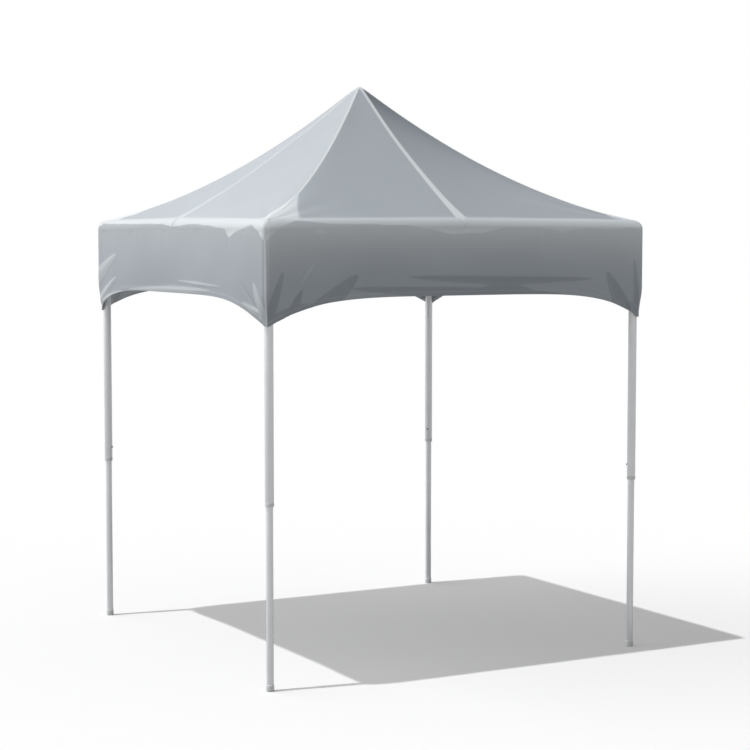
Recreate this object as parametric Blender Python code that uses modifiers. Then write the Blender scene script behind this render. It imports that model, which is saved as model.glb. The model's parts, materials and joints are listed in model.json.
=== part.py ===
"""Canopy tent: a 2 m pop-up shelter with a scissor frame, telescoping legs and a peaked cloth top.

Metres, +Z up. The origin is on the ground under the peak. The tent's front side faces -Y.
Going round the tent anticlockwise, its sides are front, right, back and left. Each side's corner
is the one at its anticlockwise end, so the front side's corner is front_right.
"""
import math

import bmesh
import bpy
from mathutils import Matrix, Vector

SIDES = ("front", "right", "back", "left")
CORNERS = ("front_right", "back_right", "back_left", "front_left")

# Driving dimensions
leg_spacing = 1.94          # between leg centres, along a side
eave_height = 2.05          # ground to the canopy's edge
peak_rise = 0.68            # eave to peak
top_pivot_height = 1.995    # hinge line of the upper brackets, which stays level as the frame folds
truss_depth = 0.24          # upper to lower hinge line with the tent open

# Scissor bars
bar_thickness = 0.012
bar_height = 0.024
bar_side_offset = 0.0068    # from the truss's middle plane to each bar's own
pin_radius = 0.003
pin_hole_radius = 0.0035
rivet_head_radius = 0.005
rivet_head_thickness = 0.0015

# Distances from the middle of each bracket to its hinge pins
hub_reach = 0.042
mid_inner_reach = 0.033
mid_side_reach = 0.030
corner_reach = 0.045

# Brackets
lug_gap = 0.0005
lug_thickness = 0.0035
lug_half_height = 0.010
lug_past_pin = 0.010
hub_radius = 0.028
hub_half_height = 0.020
corner_cap_radius = 0.026
slider_radius = 0.0285
slider_half_height = 0.022
mid_block_half_width = 0.0165
mid_block_half_height = 0.018
fit_gap = 0.0003            # between faces that touch
running_gap = 0.0008        # between faces that slide

# Legs: an outer tube with a guide bush in its lower end, and an inner tube with a foot
outer_radius = 0.020
outer_bore = 0.0185
outer_top = 2.020
outer_bottom = 0.820
bush_bore = 0.0165
bush_length = 0.030
inner_radius = 0.016
inner_bore = 0.0145
inner_top = 1.190
guide_radius = 0.018
guide_length = 0.030
foot_radius = 0.018
foot_height = 0.030
foot_floor = 0.006
foot_chamfer = 0.0015

# Peak pole
pole_radius = 0.016
pole_bore = 0.0145
pole_plug_length = 0.020
pole_top_gap = 0.006        # peak of the canopy to the top of the pole
socket_floor = 0.010        # lower hub's hinge line to the floor of the pole's socket

# Push buttons
slider_button_radius = 0.006
slider_button_bore = 0.0065
slider_boss_radius = 0.010
slider_boss_end = 0.034
slider_button_start = 0.0255
slider_button_end = 0.038
leg_button_radius = 0.004
leg_button_bore = 0.0045
leg_button_start = 0.0195
leg_button_end = 0.0245
leg_button_height = 0.890

# Canopy cloth, a thin closed shell
cloth_half_width = 1.010
cloth_thickness = 0.003
hip_sag = 0.100             # below a straight line, half way down a corner ridge
seam_sag = 0.040            # the same, down the middle seam of a roof face
peak_rounding = 0.015
valance_drop_middle = 0.325
valance_drop_corner = 0.445
arch_power = 5.0            # how late the valance's arch turns down towards a corner
fold_depth = 0.010
steps_per_half = 8          # from a side's middle to its corner, closer together at the corner
roof_rings = (0.0, 0.018, 0.12, 0.34, 0.62, 0.86, 0.985)
valance_rows = (0.06, 0.45, 1.0)

# Derived sizes
half_spacing = leg_spacing / 2
bar_run = half_spacing - mid_side_reach - corner_reach
bar_length = math.hypot(bar_run, truss_depth)
open_angle = math.atan2(truss_depth, bar_run)
bottom_pivot_height = top_pivot_height - truss_depth
valance_top = eave_height - 0.006
peak_height = eave_height + peak_rise

tent = bpy.data.collections.new("canopy_tent")
cutters = bpy.data.collections.new("cutters")


def clear_scene():
    for item in list(bpy.data.objects):
        bpy.data.objects.remove(item, do_unlink=True)
    bpy.context.scene.collection.children.link(tent)
    bpy.context.scene.collection.children.link(cutters)


def make_material(name, colour, roughness, metallic=0.0):
    material = bpy.data.materials.new(name)
    material.use_nodes = True
    shader = material.node_tree.nodes["Principled BSDF"]
    shader.inputs["Base Color"].default_value = (*colour, 1.0)
    shader.inputs["Roughness"].default_value = roughness
    shader.inputs["Metallic"].default_value = metallic
    return material


def guide(name, mesh, matrix=Matrix()):
    """A hidden working object, for shapes that are joined or cut."""
    item = bpy.data.objects.new(name, mesh)
    item.matrix_world = matrix
    item.hide_render = True
    item.display_type = "WIRE"
    cutters.objects.link(item)
    return item


def baked(item):
    """The object's mesh with its modifiers applied. The object is removed."""
    bpy.context.view_layer.update()
    seen = item.evaluated_get(bpy.context.evaluated_depsgraph_get())
    mesh = bpy.data.meshes.new_from_object(seen)
    bpy.data.objects.remove(item, do_unlink=True)
    work = bmesh.new()
    work.from_mesh(mesh)
    bmesh.ops.remove_doubles(work, verts=work.verts, dist=0.000005)
    work.to_mesh(mesh)
    work.free()
    return mesh


def place(name, mesh, material, location=(0, 0, 0), turn=0.0, slope=0.0):
    """A named sub-part: slope tips its +X end down, then turn is about +Z."""
    item = bpy.data.objects.new(name, mesh)
    if not mesh.materials:
        mesh.materials.append(material)
    item.location = location
    item.rotation_euler = (0.0, slope, turn)
    tent.objects.link(item)
    return item


def box_mesh(low, high):
    low, high = Vector(low), Vector(high)
    work = bmesh.new()
    bmesh.ops.create_cube(work, size=1.0)
    bmesh.ops.scale(work, vec=high - low, verts=work.verts)
    bmesh.ops.translate(work, vec=(low + high) / 2, verts=work.verts)
    mesh = bpy.data.meshes.new("box")
    work.to_mesh(mesh)
    work.free()
    return mesh


def rod_mesh(radius, start, end, sides, axis="Z", end_radius=None):
    """A rod along an axis from start to end."""
    work = bmesh.new()
    bmesh.ops.create_cone(work, cap_ends=True, segments=sides, radius1=radius,
                          radius2=radius if end_radius is None else end_radius, depth=end - start)
    bmesh.ops.translate(work, vec=(0, 0, (start + end) / 2), verts=work.verts)
    turn = {"X": Matrix.Rotation(math.pi / 2, 3, "Y"),
            "Y": Matrix.Rotation(-math.pi / 2, 3, "X"),
            "Z": Matrix.Identity(3)}[axis]
    bmesh.ops.rotate(work, matrix=turn, verts=work.verts)
    mesh = bpy.data.meshes.new("rod")
    work.to_mesh(mesh)
    work.free()
    return mesh


def turned_mesh(profile, sides, closed=False):
    """A profile of (radius, height) points turned about +Z, running down its outer side."""
    work = bmesh.new()
    points = [work.verts.new((radius, 0, height)) for radius, height in profile]
    pairs = list(zip(points, points[1:]))
    if closed:
        pairs.append((points[-1], points[0]))
    for pair in pairs:
        work.edges.new(pair)
    mesh = bpy.data.meshes.new("profile")
    work.to_mesh(mesh)
    work.free()
    item = guide("profile", mesh)
    screw = item.modifiers.new("turn", "SCREW")
    screw.axis = "Z"
    screw.steps = sides
    screw.render_steps = sides
    screw.use_merge_vertices = True
    screw.merge_threshold = 0.00001
    return baked(item)


def combined(mesh, joined=(), cut=()):
    """A mesh with others united to it, and then others cut from it. Each is (mesh, matrix)."""
    item = guide("base", mesh)
    helpers = []
    for operation, shapes in (("UNION", joined), ("DIFFERENCE", cut)):
        for shape, matrix in shapes:
            helper = guide("helper", shape, matrix)
            boolean = item.modifiers.new("combine", "BOOLEAN")
            boolean.operation = operation
            boolean.solver = "EXACT"
            boolean.object = helper
            helpers.append(helper)
    mesh = baked(item)
    for helper in helpers:
        bpy.data.objects.remove(helper, do_unlink=True)
    return mesh


def circle_points(radius, sides, middle=0.0):
    return [(middle + radius * math.cos(2 * math.pi * i / sides),
             radius * math.sin(2 * math.pi * i / sides)) for i in range(sides)]


def bar_mesh(start, holes):
    """A flat bar with round ends, along +X from its pin at start, on edge, drilled at each hole."""
    radius = bar_height / 2
    arc = [math.pi / 2 - math.pi * i / 6 for i in range(7)]
    outline = [(start + bar_length + radius * math.cos(a), radius * math.sin(a)) for a in arc]
    outline += [(start - radius * math.cos(a), -radius * math.sin(a)) for a in arc]
    curve = bpy.data.curves.new("bar", "CURVE")
    curve.dimensions = "2D"
    curve.fill_mode = "BOTH"
    curve.extrude = bar_thickness / 2
    rings = [outline] + [circle_points(pin_hole_radius, 8, hole) for hole in holes]
    for ring in rings:
        spline = curve.splines.new("POLY")
        spline.points.add(len(ring) - 1)
        spline.use_cyclic_u = True
        for point, (x, y) in zip(spline.points, ring):
            point.co = (x, y, 0, 1)
    mesh = baked(guide("bar", curve))
    mesh.transform(Matrix.Rotation(math.pi / 2, 4, "X"))
    return mesh


def upper_bar_mesh():
    """Hinged at its upper pin. Its middle rivet passes through the lower bar beside it."""
    bar = bar_mesh(0.0, (0.0, bar_length))
    middle = bar_length / 2
    far_face = 2 * bar_side_offset + bar_thickness / 2 + fit_gap
    shank = rod_mesh(pin_radius, 0.0, far_face + rivet_head_thickness / 2, 8, "Y")
    head = rod_mesh(rivet_head_radius, far_face, far_face + rivet_head_thickness, 10, "Y")
    at_middle = Matrix.Translation((middle, 0, 0))
    return combined(bar, [(shank, at_middle), (head, at_middle)])


def lower_bar_mesh():
    """Hinged at its middle hole, on the rivet of the upper bar beside it."""
    half = bar_length / 2
    return bar_mesh(-half, (-half, 0.0, half))


def fork(angle, offset, reach, body_radius):
    """Two lugs and their pin, pointing along angle, for a bar at offset to their left."""
    turn = Matrix.Rotation(angle, 4, "Z")
    inner = bar_thickness / 2 + lug_gap
    shapes = []
    for low in (offset + inner, offset - inner - lug_thickness):
        high = low + lug_thickness
        nearest = 0.0 if low < 0 < high else min(abs(low), abs(high))
        root = math.sqrt(max(body_radius ** 2 - nearest ** 2, 0.0))
        lug = box_mesh((root, low, -lug_half_height), (reach + lug_past_pin, high, lug_half_height))
        shapes.append((lug, turn))
    pin_half = inner + lug_thickness / 2
    pin = rod_mesh(pin_radius, offset - pin_half, offset + pin_half, 8, "Y")
    shapes.append((pin, turn @ Matrix.Translation((reach, 0, 0))))
    return shapes


def forks(angles, offset, reaches, body_radius):
    shapes = []
    for angle, reach in zip(angles, reaches):
        shapes += fork(math.radians(angle), offset, reach, body_radius)
    return shapes


def upper_hub_mesh():
    bore = pole_radius + running_gap
    ring = [(bore, hub_half_height), (hub_radius, hub_half_height),
            (hub_radius, -hub_half_height), (bore, -hub_half_height)]
    body = turned_mesh(ring, 16, closed=True)
    grip = (bore + hub_radius) / 2
    return combined(body, forks((0, 90, 180, 270), -bar_side_offset, (hub_reach,) * 4, grip))


def lower_hub_mesh():
    """A cup that holds the foot of the peak pole."""
    bore = pole_radius + fit_gap
    cup = [(0, -socket_floor), (bore, -socket_floor), (bore, hub_half_height),
           (hub_radius, hub_half_height), (hub_radius, -hub_half_height), (0, -hub_half_height)]
    body = turned_mesh(cup, 16)
    grip = (bore + hub_radius) / 2
    return combined(body, forks((0, 90, 180, 270), bar_side_offset, (hub_reach,) * 4, grip))


def middle_bracket_mesh(offset, top):
    """A block at the middle of a side, with lugs for two side bars and one inner bar."""
    half = mid_block_half_width
    block = box_mesh((-half, -half, -mid_block_half_height), (half, half, top))
    reaches = (mid_inner_reach, mid_side_reach, mid_side_reach)
    return combined(block, forks((90, 0, 180), offset, reaches, half * 0.7))


def corner_bracket_mesh():
    """A cap on the leg's top end, with lugs for the bars of two sides. Its zero is the hinge line."""
    bore = outer_radius + fit_gap
    skirt = -0.030
    ceiling = outer_top + fit_gap - top_pivot_height
    top = eave_height - 0.012 - top_pivot_height
    cap = [(0, top), (corner_cap_radius - 0.004, top), (corner_cap_radius, top - 0.004),
           (corner_cap_radius, skirt), (bore, skirt), (bore, ceiling), (0, ceiling)]
    body = turned_mesh(cap, 16)
    grip = (bore + corner_cap_radius) / 2
    return combined(body, forks((180, 90), -bar_side_offset, (corner_reach,) * 2, grip))


def slider_mesh():
    """A collar that runs on the leg, with lugs for two side bars and a boss for its button."""
    bore = outer_radius + running_gap
    ring = [(bore, slider_half_height), (slider_radius, slider_half_height),
            (slider_radius, -slider_half_height), (bore, -slider_half_height)]
    body = turned_mesh(ring, 16, closed=True)
    grip = (bore + slider_radius) / 2
    outward = Matrix.Rotation(math.radians(-45), 4, "Z")
    boss = rod_mesh(slider_boss_radius, grip, slider_boss_end, 12, "X")
    hole = rod_mesh(slider_button_bore, bore - 0.002, slider_boss_end + 0.002, 12, "X")
    lugs = forks((180, 90), bar_side_offset, (corner_reach,) * 2, grip)
    return combined(body, [(boss, outward)] + lugs, [(hole, outward)])


def outer_leg_mesh():
    """An upright tube, its lower end narrowed by a bush, with a hole for the leg's button."""
    bush_top = outer_bottom + bush_length
    ring = [(bush_bore, outer_bottom), (bush_bore, bush_top), (outer_bore, bush_top + 0.002),
            (outer_bore, outer_top), (outer_radius, outer_top), (outer_radius, outer_bottom)]
    body = turned_mesh(ring, 16, closed=True)
    inward = Matrix.Translation((0, 0, leg_button_height)) @ Matrix.Rotation(math.radians(135), 4, "Z")
    hole = rod_mesh(leg_button_bore, 0.012, outer_radius + 0.004, 10, "X")
    return combined(body, cut=[(hole, inward)])


def inner_leg_mesh():
    """A tube that slides in the outer leg: a guide ring at its top, a closed foot below."""
    guide_bottom = inner_top - guide_length
    profile = [(0, foot_floor), (inner_bore, foot_floor), (inner_bore, inner_top),
               (guide_radius, inner_top), (guide_radius, guide_bottom), (inner_radius, guide_bottom),
               (inner_radius, foot_height), (foot_radius, foot_height - foot_chamfer),
               (foot_radius, foot_chamfer), (foot_radius - foot_chamfer, 0), (0, 0)]
    return turned_mesh(profile, 16)


def pole_mesh():
    """A tube open at its foot, with a rounded plug in its top. Its zero is the ground."""
    foot = bottom_pivot_height - socket_floor + fit_gap
    top = peak_height - pole_top_gap
    plug = top - pole_plug_length
    profile = [(0, top), (0.008, top - 0.0015), (0.013, top - 0.0045), (pole_radius, top - 0.009),
               (pole_radius, foot), (pole_bore, foot), (pole_bore, plug), (0, plug)]
    return turned_mesh(profile, 16)


def button_mesh(radius, start, end, sides):
    """A stub along +X with a chamfered outer end."""
    shank = rod_mesh(radius, start, end - radius * 0.25, sides, "X")
    crown = rod_mesh(radius, end - radius * 0.25, end, sides, "X", end_radius=radius * 0.7)
    work = bmesh.new()
    work.from_mesh(shank)
    work.from_mesh(crown)
    bmesh.ops.remove_doubles(work, verts=work.verts, dist=0.00001)
    inside = [face for face in work.faces
              if abs(face.calc_center_median().x - (end - radius * 0.25)) < 0.00001]
    bmesh.ops.delete(work, geom=inside, context="FACES_ONLY")
    mesh = bpy.data.meshes.new("button")
    work.to_mesh(mesh)
    work.free()
    return mesh


def roof_height(out, along):
    """Height of the roof. out runs from 0 at the peak to 1 at the eave, along from 0 at a
    face's middle seam to 1 at its corner ridge."""
    slope = 1 - (math.hypot(out, peak_rounding) - peak_rounding)
    hollow = 4 * out * (1 - out)
    sag = seam_sag + (hip_sag - seam_sag) * along ** 1.4
    return eave_height + peak_rise * slope - sag * hollow


def valance_bottom(along):
    drop = valance_drop_middle + (valance_drop_corner - valance_drop_middle) * along ** arch_power
    return eave_height - drop


def valance_fold(step, down):
    """How far the hanging cloth stands out: folds that deepen from the middle of a side towards
    its corners, one for each pair of steps, over a shallow billow along the middle."""
    share = abs(step) / steps_per_half
    fan = math.cos(math.pi * step) * math.sin(math.pi * share) ** 2 * share
    billow = 0.5 * math.cos(math.pi * share / 2) * math.sin(math.pi * down)
    return fold_depth * down * (0.3 + fan + billow) * (1 - share ** 12)


def canopy_mesh():
    """Rings of points from the peak down the roof, over the eave and down the valance."""
    sides = []
    for quarter in range(4):
        for step in range(-steps_per_half, steps_per_half):
            along = 1 - (1 - abs(step) / steps_per_half) ** 1.5
            sides.append((quarter, step, math.copysign(along, step)))
    work = bmesh.new()
    peak = work.verts.new((0, 0, roof_height(0.0, 0.0)))
    rings = []
    for out in roof_rings[1:]:
        reach = out * cloth_half_width
        rings.append([(reach, roof_height(out, abs(along))) for quarter, step, along in sides])
    for down in valance_rows:
        ring = []
        for quarter, step, along in sides:
            height = valance_top + (valance_bottom(abs(along)) - valance_top) * down
            ring.append((cloth_half_width + valance_fold(step, down), height))
        rings.append(ring)
    rows = []
    for ring in rings:
        row = []
        for (quarter, step, along), (reach, height) in zip(sides, ring):
            turn = Matrix.Rotation(quarter * math.pi / 2, 3, "Z")
            row.append(work.verts.new(turn @ Vector((reach * along, -reach, height))))
        rows.append(row)
    count = len(sides)
    for i in range(count):
        work.faces.new((peak, rows[0][i], rows[0][(i + 1) % count]))
    for upper, lower in zip(rows, rows[1:]):
        for i in range(count):
            j = (i + 1) % count
            work.faces.new((upper[i], lower[i], lower[j], upper[j]))
    mesh = bpy.data.meshes.new("canopy")
    work.to_mesh(mesh)
    work.free()
    item = guide("canopy", mesh)
    wall = item.modifiers.new("wall", "SOLIDIFY")
    wall.thickness = cloth_thickness
    wall.offset = -1.0
    return baked(item)


def add_frame(tube_paint, bar_paint, nylon, button_plastic):
    upper_bar = upper_bar_mesh()
    lower_bar = lower_bar_mesh()
    upper_middle = middle_bracket_mesh(-bar_side_offset, eave_height - 0.010 - top_pivot_height)
    lower_middle = middle_bracket_mesh(bar_side_offset, mid_block_half_height)
    corner_bracket = corner_bracket_mesh()
    slider = slider_mesh()
    outer_leg = outer_leg_mesh()
    inner_leg = inner_leg_mesh()
    slider_button = button_mesh(slider_button_radius, slider_button_start, slider_button_end, 12)
    leg_button = button_mesh(leg_button_radius, leg_button_start, leg_button_end, 10)

    place("upper_hub", upper_hub_mesh(), nylon, (0, 0, top_pivot_height))
    place("lower_hub", lower_hub_mesh(), nylon, (0, 0, bottom_pivot_height))
    place("peak_pole", pole_mesh(), tube_paint)

    for number, (side, corner) in enumerate(zip(SIDES, CORNERS)):
        turn = number * math.pi / 2
        spin = Matrix.Rotation(turn, 3, "Z")
        out = spin @ Vector((0, -1, 0))
        along = spin @ Vector((1, 0, 0))
        up = Vector((0, 0, 1))

        def add_truss(start, direction, names):
            """The crossed pair of bars that leaves start, on the upper hinge line, along direction."""
            left = up.cross(direction)
            heading = math.atan2(direction.y, direction.x)
            first = start - left * bar_side_offset
            crossing = start + direction * (bar_run / 2) - up * (truss_depth / 2)
            place(names[0], upper_bar, bar_paint, first, heading, open_angle)
            place(names[1], lower_bar, bar_paint, crossing + left * bar_side_offset, heading, -open_angle)

        high = up * top_pivot_height
        middle = out * half_spacing
        leg = (out + along) * half_spacing
        add_truss(high + out * hub_reach, out, (f"{side}_inner_bar_1", f"{side}_inner_bar_2"))
        add_truss(high + middle + along * mid_side_reach, along,
                  (f"{side}_bar_1", f"{side}_bar_2"))
        add_truss(high + middle - along * mid_side_reach, -along,
                  (f"{side}_bar_3", f"{side}_bar_4"))
        low = up * bottom_pivot_height
        place(f"{side}_upper_bracket", upper_middle, nylon, middle + high, turn)
        place(f"{side}_lower_bracket", lower_middle, nylon, middle + low, turn)
        place(f"{corner}_top_bracket", corner_bracket, nylon, leg + high, turn)
        place(f"{corner}_slider", slider, nylon, leg + low, turn)
        place(f"{corner}_slider_button", slider_button, button_plastic, leg + low, turn - math.pi / 4)
        place(f"{corner}_outer_leg", outer_leg, tube_paint, leg, turn)
        place(f"{corner}_inner_leg", inner_leg, tube_paint, leg, turn)
        place(f"{corner}_leg_button", leg_button, button_plastic,
              leg + up * leg_button_height, turn + 3 * math.pi / 4)


def main():
    clear_scene()
    tube_paint = make_material("painted_leg_tube", (0.68, 0.70, 0.72), 0.38, 0.2)
    bar_paint = make_material("painted_scissor_bar", (0.62, 0.64, 0.66), 0.40, 0.2)
    nylon = make_material("moulded_nylon", (0.10, 0.105, 0.11), 0.50)
    button_plastic = make_material("button_plastic", (0.30, 0.31, 0.32), 0.42)
    cloth = make_material("canopy_cloth", (0.36, 0.39, 0.42), 0.75)
    add_frame(tube_paint, bar_paint, nylon, button_plastic)
    place("canopy", canopy_mesh(), cloth)


main()
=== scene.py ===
import json
import math

import bpy
import numpy as np
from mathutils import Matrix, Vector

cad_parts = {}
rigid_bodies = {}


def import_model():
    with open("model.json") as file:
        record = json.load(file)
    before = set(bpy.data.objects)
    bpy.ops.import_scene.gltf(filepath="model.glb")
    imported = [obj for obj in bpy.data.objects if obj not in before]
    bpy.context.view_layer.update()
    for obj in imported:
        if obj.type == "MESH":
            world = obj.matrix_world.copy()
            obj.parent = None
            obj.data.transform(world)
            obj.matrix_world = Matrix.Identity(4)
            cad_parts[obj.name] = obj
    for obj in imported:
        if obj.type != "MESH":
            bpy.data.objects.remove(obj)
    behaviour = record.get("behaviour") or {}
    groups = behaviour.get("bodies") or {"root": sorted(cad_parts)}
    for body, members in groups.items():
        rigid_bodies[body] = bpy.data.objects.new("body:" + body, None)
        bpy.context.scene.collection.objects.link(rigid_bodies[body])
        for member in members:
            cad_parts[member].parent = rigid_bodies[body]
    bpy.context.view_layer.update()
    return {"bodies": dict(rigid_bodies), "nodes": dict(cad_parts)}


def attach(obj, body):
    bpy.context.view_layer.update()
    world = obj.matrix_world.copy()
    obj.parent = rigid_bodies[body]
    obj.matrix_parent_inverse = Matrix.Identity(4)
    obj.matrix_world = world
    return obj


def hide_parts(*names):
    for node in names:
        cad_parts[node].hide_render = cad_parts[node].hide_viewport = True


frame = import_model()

bodyNames = {empty: name for name, empty in frame["bodies"].items()}
print("frame loaded,", len(frame["nodes"]), "CAD nodes")

# Sides go round the tent anticlockwise from the one that faces -Y. A side's corner is the one at its
# anticlockwise end.
sides = ("front", "right", "back", "left")
corners = ("front_right", "back_right", "back_left", "front_left")
outward = np.array([(0.0, -1.0), (1.0, 0.0), (0.0, 1.0), (-1.0, 0.0)])
rightward = np.array([(1.0, 0.0), (0.0, 1.0), (-1.0, 0.0), (0.0, -1.0)])
legReach = 0.97          # from the tent's axis to a leg's or a middle bracket's own, across one side


# Shapes. A part is (points, face arrays, number of its material), and a piece is a list of parts.

def smooth(t):
    # 0 below t = 0, 1 above t = 1, and 3 t squared less 2 t cubed between
    t = np.clip(t, 0, 1)
    return t * t * (3 - 2 * t)


def gridFaces(rows, columns, closed=False, looped=False, flip=False):
    # quads between neighbours in a grid of points numbered row by row. closed joins the last column
    # to the first, looped the last row to the first.
    i = np.arange(rows if looped else rows - 1)[:, None]
    j = np.arange(columns if closed else columns - 1)
    beside = (j + 1) % columns
    below = (i + 1) % rows
    quads = np.stack([i * columns + j, i * columns + beside, below * columns + beside, below * columns + j],
                     axis=-1).reshape(-1, 4)
    return quads[:, ::-1] if flip else quads


def rounded(outline, radius, steps=5, closed=False):
    # a polyline with each corner replaced by a short parabola that starts and ends a radius from it
    outline = np.asarray(outline, float)
    before, after = np.roll(outline, 1, axis=0) - outline, np.roll(outline, -1, axis=0) - outline
    lengthBefore, lengthAfter = (np.linalg.norm(way, axis=1)[:, None] for way in (before, after))
    size = np.minimum(radius, 0.49 * np.minimum(lengthBefore, lengthAfter))
    start = outline + before / lengthBefore * size
    end = outline + after / lengthAfter * size
    k = np.linspace(0, 1, steps)[None, :, None]
    curve = (1 - k) ** 2 * start[:, None] + 2 * k * (1 - k) * outline[:, None] + k ** 2 * end[:, None]
    if closed:
        return curve.reshape(-1, 2)
    return np.concatenate([outline[:1], curve[1:-1].reshape(-1, 2), outline[-1:]])


def turnedPart(profile, paint=0, turns=40, loop=False):
    # (radius, height) points turned about the z axis. The profile runs up the outer side. A first or
    # last radius of 0 is closed with a fan of triangles.
    profile = np.asarray(profile, float)
    ring = profile[profile[:, 0] > 0]
    angle = np.arange(turns) * 2 * math.pi / turns
    points = np.stack([ring[:, :1] * np.cos(angle), ring[:, :1] * np.sin(angle),
                       np.repeat(ring[:, 1:], turns, axis=1)], axis=-1).reshape(-1, 3)
    faces = [gridFaces(len(ring), turns, closed=True, looped=loop)]
    here = np.arange(turns)
    beside = (here + 1) % turns
    if profile[0, 0] == 0:
        faces.append(np.stack([np.full(turns, len(points)), beside, here], axis=-1))
        points = np.append(points, [[0, 0, profile[0, 1]]], axis=0)
    if profile[-1, 0] == 0:
        last = (len(ring) - 1) * turns
        faces.append(np.stack([np.full(turns, len(points)), last + here, last + beside], axis=-1))
        points = np.append(points, [[0, 0, profile[-1, 1]]], axis=0)
    return points, faces, paint


def platePart(outline, low, high, bevel, paint=0):
    # an anticlockwise outline of (x, z) points carried along y from low to high, its edges rounded
    # with quarter circles of radius bevel
    outline = np.asarray(outline, float)
    along = np.roll(outline, -1, axis=0) - np.roll(outline, 1, axis=0)
    normal = np.stack([along[:, 1], -along[:, 0]], axis=-1) / np.linalg.norm(along, axis=1)[:, None]
    turn = np.linspace(0, math.pi / 2, 4)
    inset = bevel * (1 - np.sin(turn))
    depth = bevel * (1 - np.cos(turn))
    inset = np.concatenate([inset, inset[::-1]])
    y = np.concatenate([low + depth, high - depth[::-1]])
    flat = outline - normal * inset[:, None, None]
    points = np.stack([flat[..., 0], np.broadcast_to(y[:, None], flat.shape[:2]), flat[..., 1]], axis=-1)
    rows, count = len(inset), len(outline)
    cap = np.arange(count)[None]
    faces = [gridFaces(rows, count, closed=True, flip=True), cap, ((rows - 1) * count + cap)[:, ::-1]]
    return points.reshape(-1, 3), faces, paint


def moved(parts, at=(0, 0, 0), turn=0.0, slope=0.0):
    # slope tips the +x end down, then turn is about +z, then the shift
    result = []
    for points, faces, paint in parts:
        x, y, z = points.T
        x, z = x * math.cos(slope) + z * math.sin(slope), z * math.cos(slope) - x * math.sin(slope)
        x, y = x * math.cos(turn) - y * math.sin(turn), x * math.sin(turn) + y * math.cos(turn)
        result.append((np.stack([x, y, z], axis=-1) + np.asarray(at, float), faces, paint))
    return result


def swapped(parts, order):
    # turns parts a quarter turn by exchanging coordinates. The signs keep them from turning inside out.
    signs = {"z along x": ((2, 1, 0), (1, 1, -1)), "z along y": ((0, 2, 1), (1, 1, -1)),
             "y along z": ((0, 2, 1), (1, -1, 1))}
    places, sign = signs[order]
    return [(points[:, places] * sign, faces, paint) for points, faces, paint in parts]


def makePiece(name, parts, materials, body, stands=(), sharp=35.0, uv=None, tone=None):
    # joins parts into one object at the origin that rides on a body
    points = np.concatenate([np.reshape(part[0], (-1, 3)) for part in parts])
    corner, size, paint = [], [], []
    first = 0
    for part in parts:
        for faces in part[1]:
            corner.append((faces + first).ravel())
            size.append(np.full(len(faces), faces.shape[1]))
            paint.append(np.full(len(faces), part[2]))
        first += part[0].size // 3
    corner, size, paint = (np.concatenate(a).astype(np.int32) for a in (corner, size, paint))
    mesh = bpy.data.meshes.new(name)
    mesh.vertices.add(len(points))
    mesh.vertices.foreach_set("co", points.astype(np.float32).ravel())
    mesh.loops.add(len(corner))
    mesh.loops.foreach_set("vertex_index", corner)
    mesh.polygons.add(len(size))
    mesh.polygons.foreach_set("loop_start", np.concatenate([[0], np.cumsum(size)[:-1]]).astype(np.int32))
    mesh.polygons.foreach_set("material_index", paint)
    mesh.update(calc_edges=True)
    if uv is not None:
        layer = mesh.uv_layers.new(name="cloth")
        layer.uv.foreach_set("vector", uv.reshape(-1, 2)[corner].astype(np.float32).ravel())
    if tone is not None:
        layer = mesh.attributes.new("tone", "FLOAT", "POINT")
        layer.data.foreach_set("value", tone.astype(np.float32).ravel())
    for material in materials:
        mesh.materials.append(material)
    mesh.shade_smooth()
    mesh.set_sharp_from_angle(angle=math.radians(sharp))
    piece = bpy.data.objects.new(name, mesh)
    bpy.context.scene.collection.objects.link(piece)
    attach(piece, body)
    if stands:
        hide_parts(*stands)
    return piece


def standIn(node, ending, parts, materials):
    # a piece that takes a CAD node's place and rides on that node's body
    body = bodyNames[frame["nodes"][node].parent]
    return makePiece(f"{node}_{ending}", parts, materials, body, [node])


# Materials

def toLinear(code):
    # "#rrggbb" in sRGB to the linear colour that a shader takes
    value = np.array([int(code[i:i + 2], 16) for i in (1, 3, 5)]) / 255
    linear = np.where(value <= 0.04045, value / 12.92, ((value + 0.055) / 1.055) ** 2.4)
    return (*linear.tolist(), 1.0)


def addNode(tree, kind, settings=None, links=None):
    # settings are the node's own fields or its inputs' values, links are its inputs' sources
    node = tree.nodes.new(kind)
    for key, value in (settings or {}).items():
        if isinstance(key, str) and hasattr(node, key):
            setattr(node, key, value)
        else:
            node.inputs[key].default_value = value
    for key, source in (links or {}).items():
        tree.links.new(source, node.inputs[key])
    return node


def newMaterial(name, settings):
    # settings are values of the shader's own sockets
    material = bpy.data.materials.new(name)
    material.use_nodes = True
    tree = material.node_tree
    shader = tree.nodes["Principled BSDF"]
    for key, value in settings.items():
        shader.inputs[key].default_value = value
    return material, tree, shader


def mixColours(tree, factor, first, second):
    # between two colours, each an sRGB code or a socket, by a socket's value
    mix = addNode(tree, "ShaderNodeMix", {"data_type": "RGBA"})
    for key, colour in (("A", first), ("B", second)):
        if isinstance(colour, str):
            mix.inputs[key].default_value = toLinear(colour)
        else:
            tree.links.new(colour, mix.inputs[key])
    tree.links.new(factor, mix.inputs["Factor"])
    return mix.outputs["Result"]


clothLook = {
    "dark": "#a2a9b0",
    "light": "#b1b8be",
    "paintedHighlight": "#e1e6e9",     # colour of the painted highlights on the edge roll, seams, ridges, folds and lit faces, at tone 1
    "paintedShade": "#666d74",     # colour of the painted shade in the folds, along the hem and on faces turned from the light, at tone -1
    "thread": 0.006,       # threads 0.5 mm apart are too fine to show, so they are drawn 6 mm apart
    "crumple": 0.16,       # size of the soft crumples that packing leaves
    "patch": 0.588,         # size of the places where the two colours drift
}


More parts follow.
